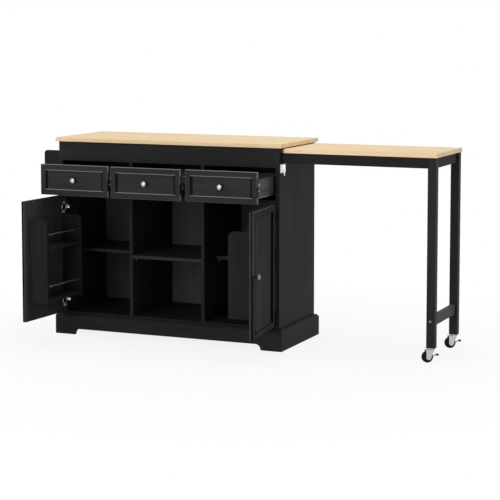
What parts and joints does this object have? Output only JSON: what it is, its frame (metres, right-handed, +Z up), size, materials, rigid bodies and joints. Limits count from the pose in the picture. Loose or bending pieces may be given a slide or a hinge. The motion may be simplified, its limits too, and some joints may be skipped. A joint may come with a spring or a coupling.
{
  "type": "rolling kitchen island",
  "caption": "Kitchen island with drawers, doors with racks, a side rack, and a table on casters that slides out of its right side.",
  "frame": {"origin": "on the floor under the middle of the whole island, as drawn with the table out, the drawers part open and both doors open", "axes": "+X to the island's right, the way the table slides out; +Y to its back; +Z up"},
  "size_m": [1.8888, 0.7858, 0.915],
  "materials": {
    "oak_top": "satin",
    "black_board": "satin, fine wood grain",
    "grey_board": "satin",
    "knob_metal": "satin",
    "zinc": "satin",
    "runner_steel": "satin",
    "rail_metal": "satin",
    "latch_metal": "satin",
    "tyre": "matte"
  },
  "bodies": {
    "cabinet": {"back_panel": "black_board", "bottom_panel": "black_board", "centre_shelf": "black_board", "dividers": "black_board", "drawer_channels": "runner_steel", "drawer_decks": "black_board", "frieze_board": "black_board", "hinge_arms": "zinc", "latch_plate": "latch_metal", "left_side_panel": "black_board", "main_top": "oak_top", "plinth_back": "black_board", "plinth_front": "black_board", "plinth_sides": "black_board", "right_side_panel": "black_board", "shelf_supports": "zinc", "side_rack_ends": "black_board", "side_rack_shelf": "black_board", "side_shelves": "black_board", "table_guides": "black_board"},
    "table": {"caster_plates": "zinc", "stretcher_bolts": "zinc", "table_back_apron": "black_board", "table_end_apron": "black_board", "table_front_apron": "black_board", "table_legs": "black_board", "table_rails": "black_board", "table_stretcher": "black_board", "table_top": "oak_top"},
    "latch": {"latch_pin": "latch_metal"},
    "drawer_1": {"drawer_1_box": "grey_board", "drawer_1_front": "black_board", "drawer_1_knob": "knob_metal", "drawer_1_runners": "runner_steel"},
    "drawer_2": {"drawer_2_box": "grey_board", "drawer_2_front": "black_board", "drawer_2_knob": "knob_metal", "drawer_2_runners": "runner_steel"},
    "drawer_3": {"drawer_3_box": "grey_board", "drawer_3_front": "black_board", "drawer_3_knob": "knob_metal", "drawer_3_runners": "runner_steel"},
    "left_door": {"left_door_hinges": "zinc", "left_door_panel": "black_board", "left_door_rack_ends": "black_board", "left_door_rack_rails": "rail_metal", "left_door_rack_shelves": "black_board"},
    "right_door": {"right_door_hinges": "zinc", "right_door_knob": "knob_metal", "right_door_panel": "black_board", "right_door_rack_ends": "black_board", "right_door_rack_rails": "rail_metal", "right_door_rack_shelves": "black_board"},
    "front_caster": {"front_caster_fork": "zinc"},
    "back_caster": {"back_caster_fork": "zinc"},
    "front_wheel": {"front_caster_wheel": "tyre"},
    "back_wheel": {"back_caster_wheel": "tyre"},
    "front_brake": {"front_caster_brake_lever": "zinc"},
    "back_brake": {"back_caster_brake_lever": "zinc"}
  },
  "joints": [
    {"name": "table_slide", "type": "slide", "parent": "cabinet", "child": "table", "axis": [1, 0, 0], "range_m": [-0.62, 0]},
    {"name": "latch_slide", "type": "slide", "parent": "cabinet", "child": "latch", "axis": [0, 0, 1], "range_m": [0, 0.008], "stiffness_N_per_m": 250, "springref_m": 0.008},
    {"name": "drawer_1_slide", "type": "slide", "parent": "cabinet", "child": "drawer_1", "axis": [0, -1, 0], "range_m": [-0.202, 0.088]},
    {"name": "drawer_2_slide", "type": "slide", "parent": "cabinet", "child": "drawer_2", "axis": [0, -1, 0], "range_m": [-0.211, 0.079]},
    {"name": "drawer_3_slide", "type": "slide", "parent": "cabinet", "child": "drawer_3", "axis": [0, -1, 0], "range_m": [-0.201, 0.089]},
    {"name": "left_door_hinge", "type": "hinge", "parent": "cabinet", "child": "left_door", "pos_m": [-0.84741, -0.05007, 0.3785], "axis": [0, 0, -1], "range_deg": [-93, 12]},
    {"name": "right_door_hinge", "type": "hinge", "parent": "cabinet", "child": "right_door", "pos_m": [0.21659, -0.05007, 0.3785], "axis": [0, 0, 1], "range_deg": [-97, 8]},
    {"name": "front_caster_swivel", "type": "hinge", "parent": "table", "child": "front_caster", "pos_m": [0.92009, -0.00857, 0.0625], "axis": [0, 0, 1], "continuous": true},
    {"name": "front_wheel_spin", "type": "hinge", "parent": "front_caster", "child": "front_wheel", "pos_m": [0.90572, -0.0194, 0.025], "axis": [-0.6018, 0.7986, 0], "continuous": true},
    {"name": "front_brake_lever_tilt", "type": "hinge", "parent": "front_caster", "child": "front_brake", "pos_m": [0.90572, -0.0194, 0.025], "axis": [-0.6018, 0.7986, 0], "range_deg": [0, 12]},
    {"name": "back_caster_swivel", "type": "hinge", "parent": "table", "child": "back_caster", "pos_m": [0.92009, 0.33043, 0.0625], "axis": [0, 0, 1], "continuous": true},
    {"name": "back_wheel_spin", "type": "hinge", "parent": "back_caster", "child": "back_wheel", "pos_m": [0.90553, 0.31985, 0.025], "axis": [-0.5878, 0.809, 0], "continuous": true},
    {"name": "back_brake_lever_tilt", "type": "hinge", "parent": "back_caster", "child": "back_brake", "pos_m": [0.90553, 0.31985, 0.025], "axis": [-0.5878, 0.809, 0], "range_deg": [0, 12]}
  ]
}
